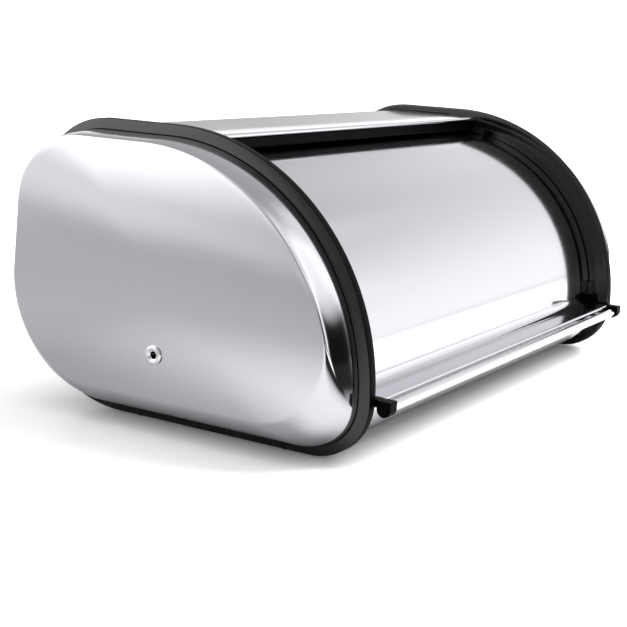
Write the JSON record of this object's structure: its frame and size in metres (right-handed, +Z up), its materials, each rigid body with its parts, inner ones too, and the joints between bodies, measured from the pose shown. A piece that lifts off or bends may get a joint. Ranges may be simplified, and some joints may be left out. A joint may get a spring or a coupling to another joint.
{
  "type": "roll-top bread box",
  "caption": "Polished steel bread box with domed ends in black rims and a curved door that rolls up under the roof by a chrome bar handle.",
  "frame": {"origin": "centre of the box's bounding box on the surface it stands on", "axes": "+Z up, the door and its handle face -Y, +X to the right as seen from the front"},
  "size_m": [0.4568, 0.2655, 0.1808],
  "materials": {
    "polished_steel": "mirror-polished stainless sheet with faint rolling lines",
    "chrome": "bright plated",
    "black_gloss_plastic": "gloss moulded",
    "black_satin_plastic": "satin moulded",
    "rubber": "matt",
    "zinc_fastener": "zinc-plated"
  },
  "bodies": {
    "case": {"upper_shell": "polished_steel", "base_shell": "polished_steel", "roof_seal": "black_gloss_plastic", "seam_rivet_1": "zinc_fastener", "seam_rivet_2": "zinc_fastener", "seam_rivet_3": "zinc_fastener", "left_end_frame": "black_gloss_plastic", "left_end_panel": "polished_steel", "left_vent_eyelet": "chrome", "left_sill_bumper": "rubber", "left_foot_1": "rubber", "left_foot_2": "rubber", "left_frame_screw_1": "zinc_fastener", "left_frame_screw_2": "zinc_fastener", "left_frame_screw_3": "zinc_fastener", "left_frame_screw_4": "zinc_fastener", "right_end_frame": "black_gloss_plastic", "right_end_panel": "polished_steel", "right_vent_eyelet": "chrome", "right_sill_bumper": "rubber", "right_foot_1": "rubber", "right_foot_2": "rubber", "right_frame_screw_1": "zinc_fastener", "right_frame_screw_2": "zinc_fastener", "right_frame_screw_3": "zinc_fastener", "right_frame_screw_4": "zinc_fastener"},
    "door": {"door_panel": "polished_steel", "handle_rod": "chrome", "left_upper_glide": "black_satin_plastic", "left_lower_glide": "black_satin_plastic", "left_handle_holder": "black_gloss_plastic", "left_holder_screw": "zinc_fastener", "right_upper_glide": "black_satin_plastic", "right_lower_glide": "black_satin_plastic", "right_handle_holder": "black_gloss_plastic", "right_holder_screw": "zinc_fastener"}
  },
  "joints": [
    {"name": "door_roll", "type": "hinge", "parent": "case", "child": "door", "pos_m": [0, 0.01905, 0.0395], "axis": [-1, 0, 0], "range_deg": [0, 53]}
  ]
}
